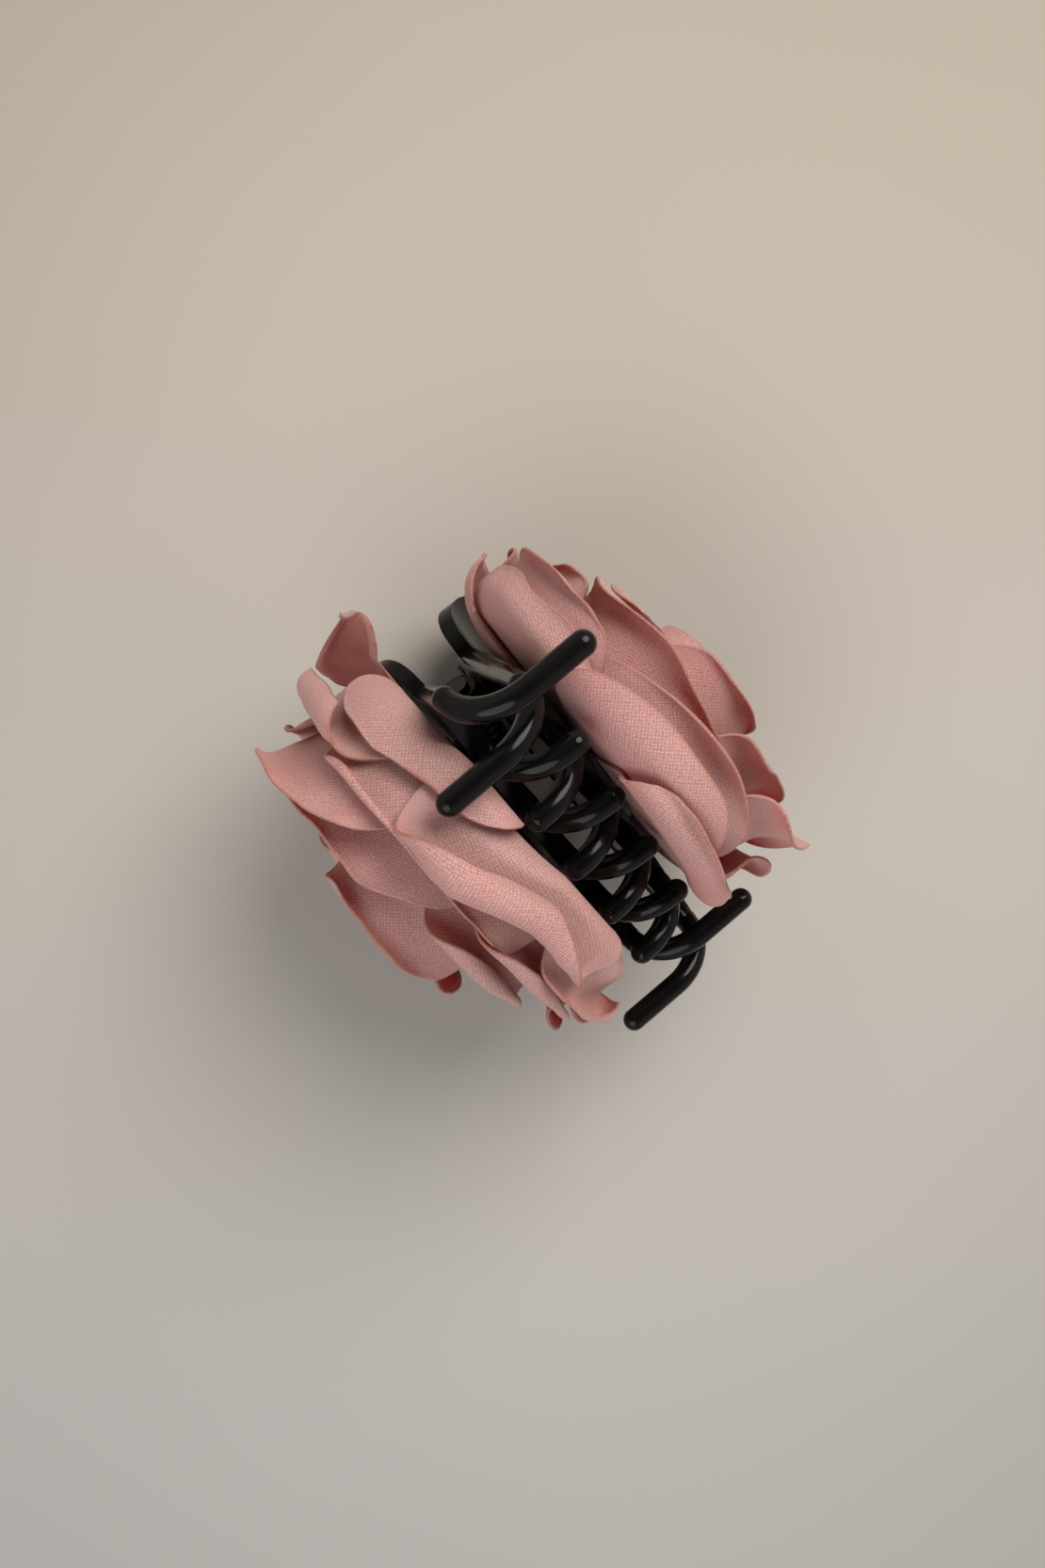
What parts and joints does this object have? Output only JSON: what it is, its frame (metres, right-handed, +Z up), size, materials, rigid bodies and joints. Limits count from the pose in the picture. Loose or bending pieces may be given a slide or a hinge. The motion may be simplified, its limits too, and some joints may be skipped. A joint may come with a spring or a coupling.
{
  "type": "flower hair clip",
  "caption": "Sprung black plastic hair claw with interleaved round teeth and finger levers, and a layered pink fabric rose covering each half.",
  "frame": {"origin": "on the table, under the middle of the resting clip's bounding box", "axes": "+Z up; +Y from the right rose to the left rose, along both roses' axes; the hinge pin lies in the XZ plane at 45 degrees to the table"},
  "size_m": [0.0675, 0.0562, 0.0647],
  "materials": {
    "claw_plastic": "black gloss",
    "hinge_steel": "plain wire",
    "petal_fabric": "dusty pink woven cloth, edges browned by heat",
    "backing_felt": "black felt"
  },
  "bodies": {
    "left_half": {"left_jaw": "claw_plastic", "left_felt": "backing_felt", "left_bud": "petal_fabric", "left_outer_petal_1": "petal_fabric", "left_outer_petal_2": "petal_fabric", "left_outer_petal_3": "petal_fabric", "left_outer_petal_4": "petal_fabric", "left_outer_petal_5": "petal_fabric", "left_outer_petal_6": "petal_fabric", "left_outer_petal_7": "petal_fabric", "left_mid_petal_1": "petal_fabric", "left_mid_petal_2": "petal_fabric", "left_mid_petal_3": "petal_fabric", "left_mid_petal_4": "petal_fabric", "left_mid_petal_5": "petal_fabric", "left_mid_petal_6": "petal_fabric", "left_inner_petal_1": "petal_fabric", "left_inner_petal_2": "petal_fabric", "left_inner_petal_3": "petal_fabric", "left_inner_petal_4": "petal_fabric", "left_heart_petal_1": "petal_fabric", "left_heart_petal_2": "petal_fabric", "left_heart_petal_3": "petal_fabric", "hinge_pin": "hinge_steel", "hinge_spring": "hinge_steel"},
    "right_half": {"right_jaw": "claw_plastic", "right_felt": "backing_felt", "right_bud": "petal_fabric", "right_outer_petal_1": "petal_fabric", "right_outer_petal_2": "petal_fabric", "right_outer_petal_3": "petal_fabric", "right_outer_petal_4": "petal_fabric", "right_outer_petal_5": "petal_fabric", "right_outer_petal_6": "petal_fabric", "right_mid_petal_1": "petal_fabric", "right_mid_petal_2": "petal_fabric", "right_mid_petal_3": "petal_fabric", "right_mid_petal_4": "petal_fabric", "right_mid_petal_5": "petal_fabric", "right_inner_petal_1": "petal_fabric", "right_inner_petal_2": "petal_fabric", "right_inner_petal_3": "petal_fabric", "right_inner_petal_4": "petal_fabric", "right_heart_petal_1": "petal_fabric", "right_heart_petal_2": "petal_fabric", "right_heart_petal_3": "petal_fabric"}
  },
  "joints": [
    {"name": "claw_hinge", "type": "hinge", "parent": "left_half", "child": "right_half", "pos_m": [0.01258, -0.0015, 0.01835], "axis": [0.7071, 0, 0.7071], "range_deg": [0, 26], "stiffness_Nm_per_rad": 0.15, "springref_deg": -20.05, "deforming": ["hinge_spring"]}
  ]
}
